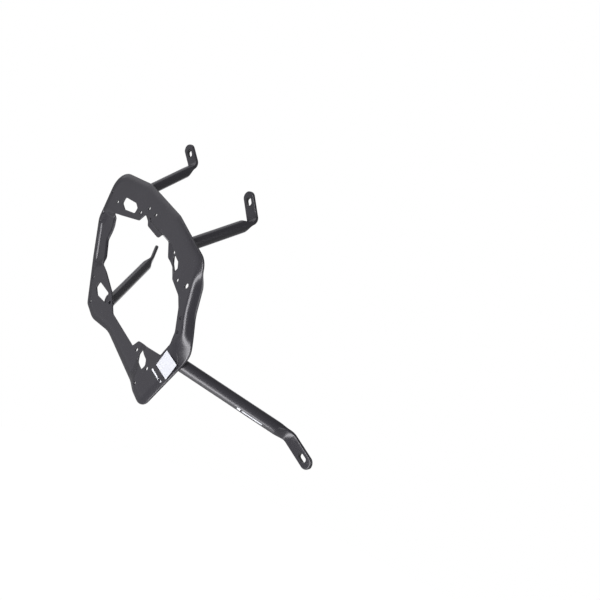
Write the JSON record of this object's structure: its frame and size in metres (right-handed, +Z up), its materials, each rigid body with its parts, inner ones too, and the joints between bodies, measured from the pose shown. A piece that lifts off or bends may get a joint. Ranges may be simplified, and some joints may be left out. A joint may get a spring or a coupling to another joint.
{
  "type": "pannier frame",
  "caption": "Side frame for a motorcycle pannier: a pressed ring plate with slotted windows on four welded tube struts with flattened, slotted ends.",
  "frame": {"origin": "centre of the large bolt hole in the front web, on the plate's outer face", "axes": "+X inboard, square to the plate; -Y forward; +Z up along the plate. On the machine the plate leans, its top further inboard."},
  "size_m": [0.1557, 0.541, 0.4427],
  "materials": {
    "powder_coat": "black powder coat, satin",
    "label_film": "pale adhesive film, satin"
  },
  "bodies": {
    "root": {"carrier_plate": "powder_coat", "upper_rear_strut": "powder_coat", "upper_front_strut": "powder_coat", "lower_rear_strut": "powder_coat", "lower_front_strut": "powder_coat", "upper_rear_weld": "powder_coat", "upper_front_weld": "powder_coat", "lower_rear_weld": "powder_coat", "lower_front_weld": "powder_coat", "nut_plate": "powder_coat", "label": "label_film"}
  },
  "joints": []
}
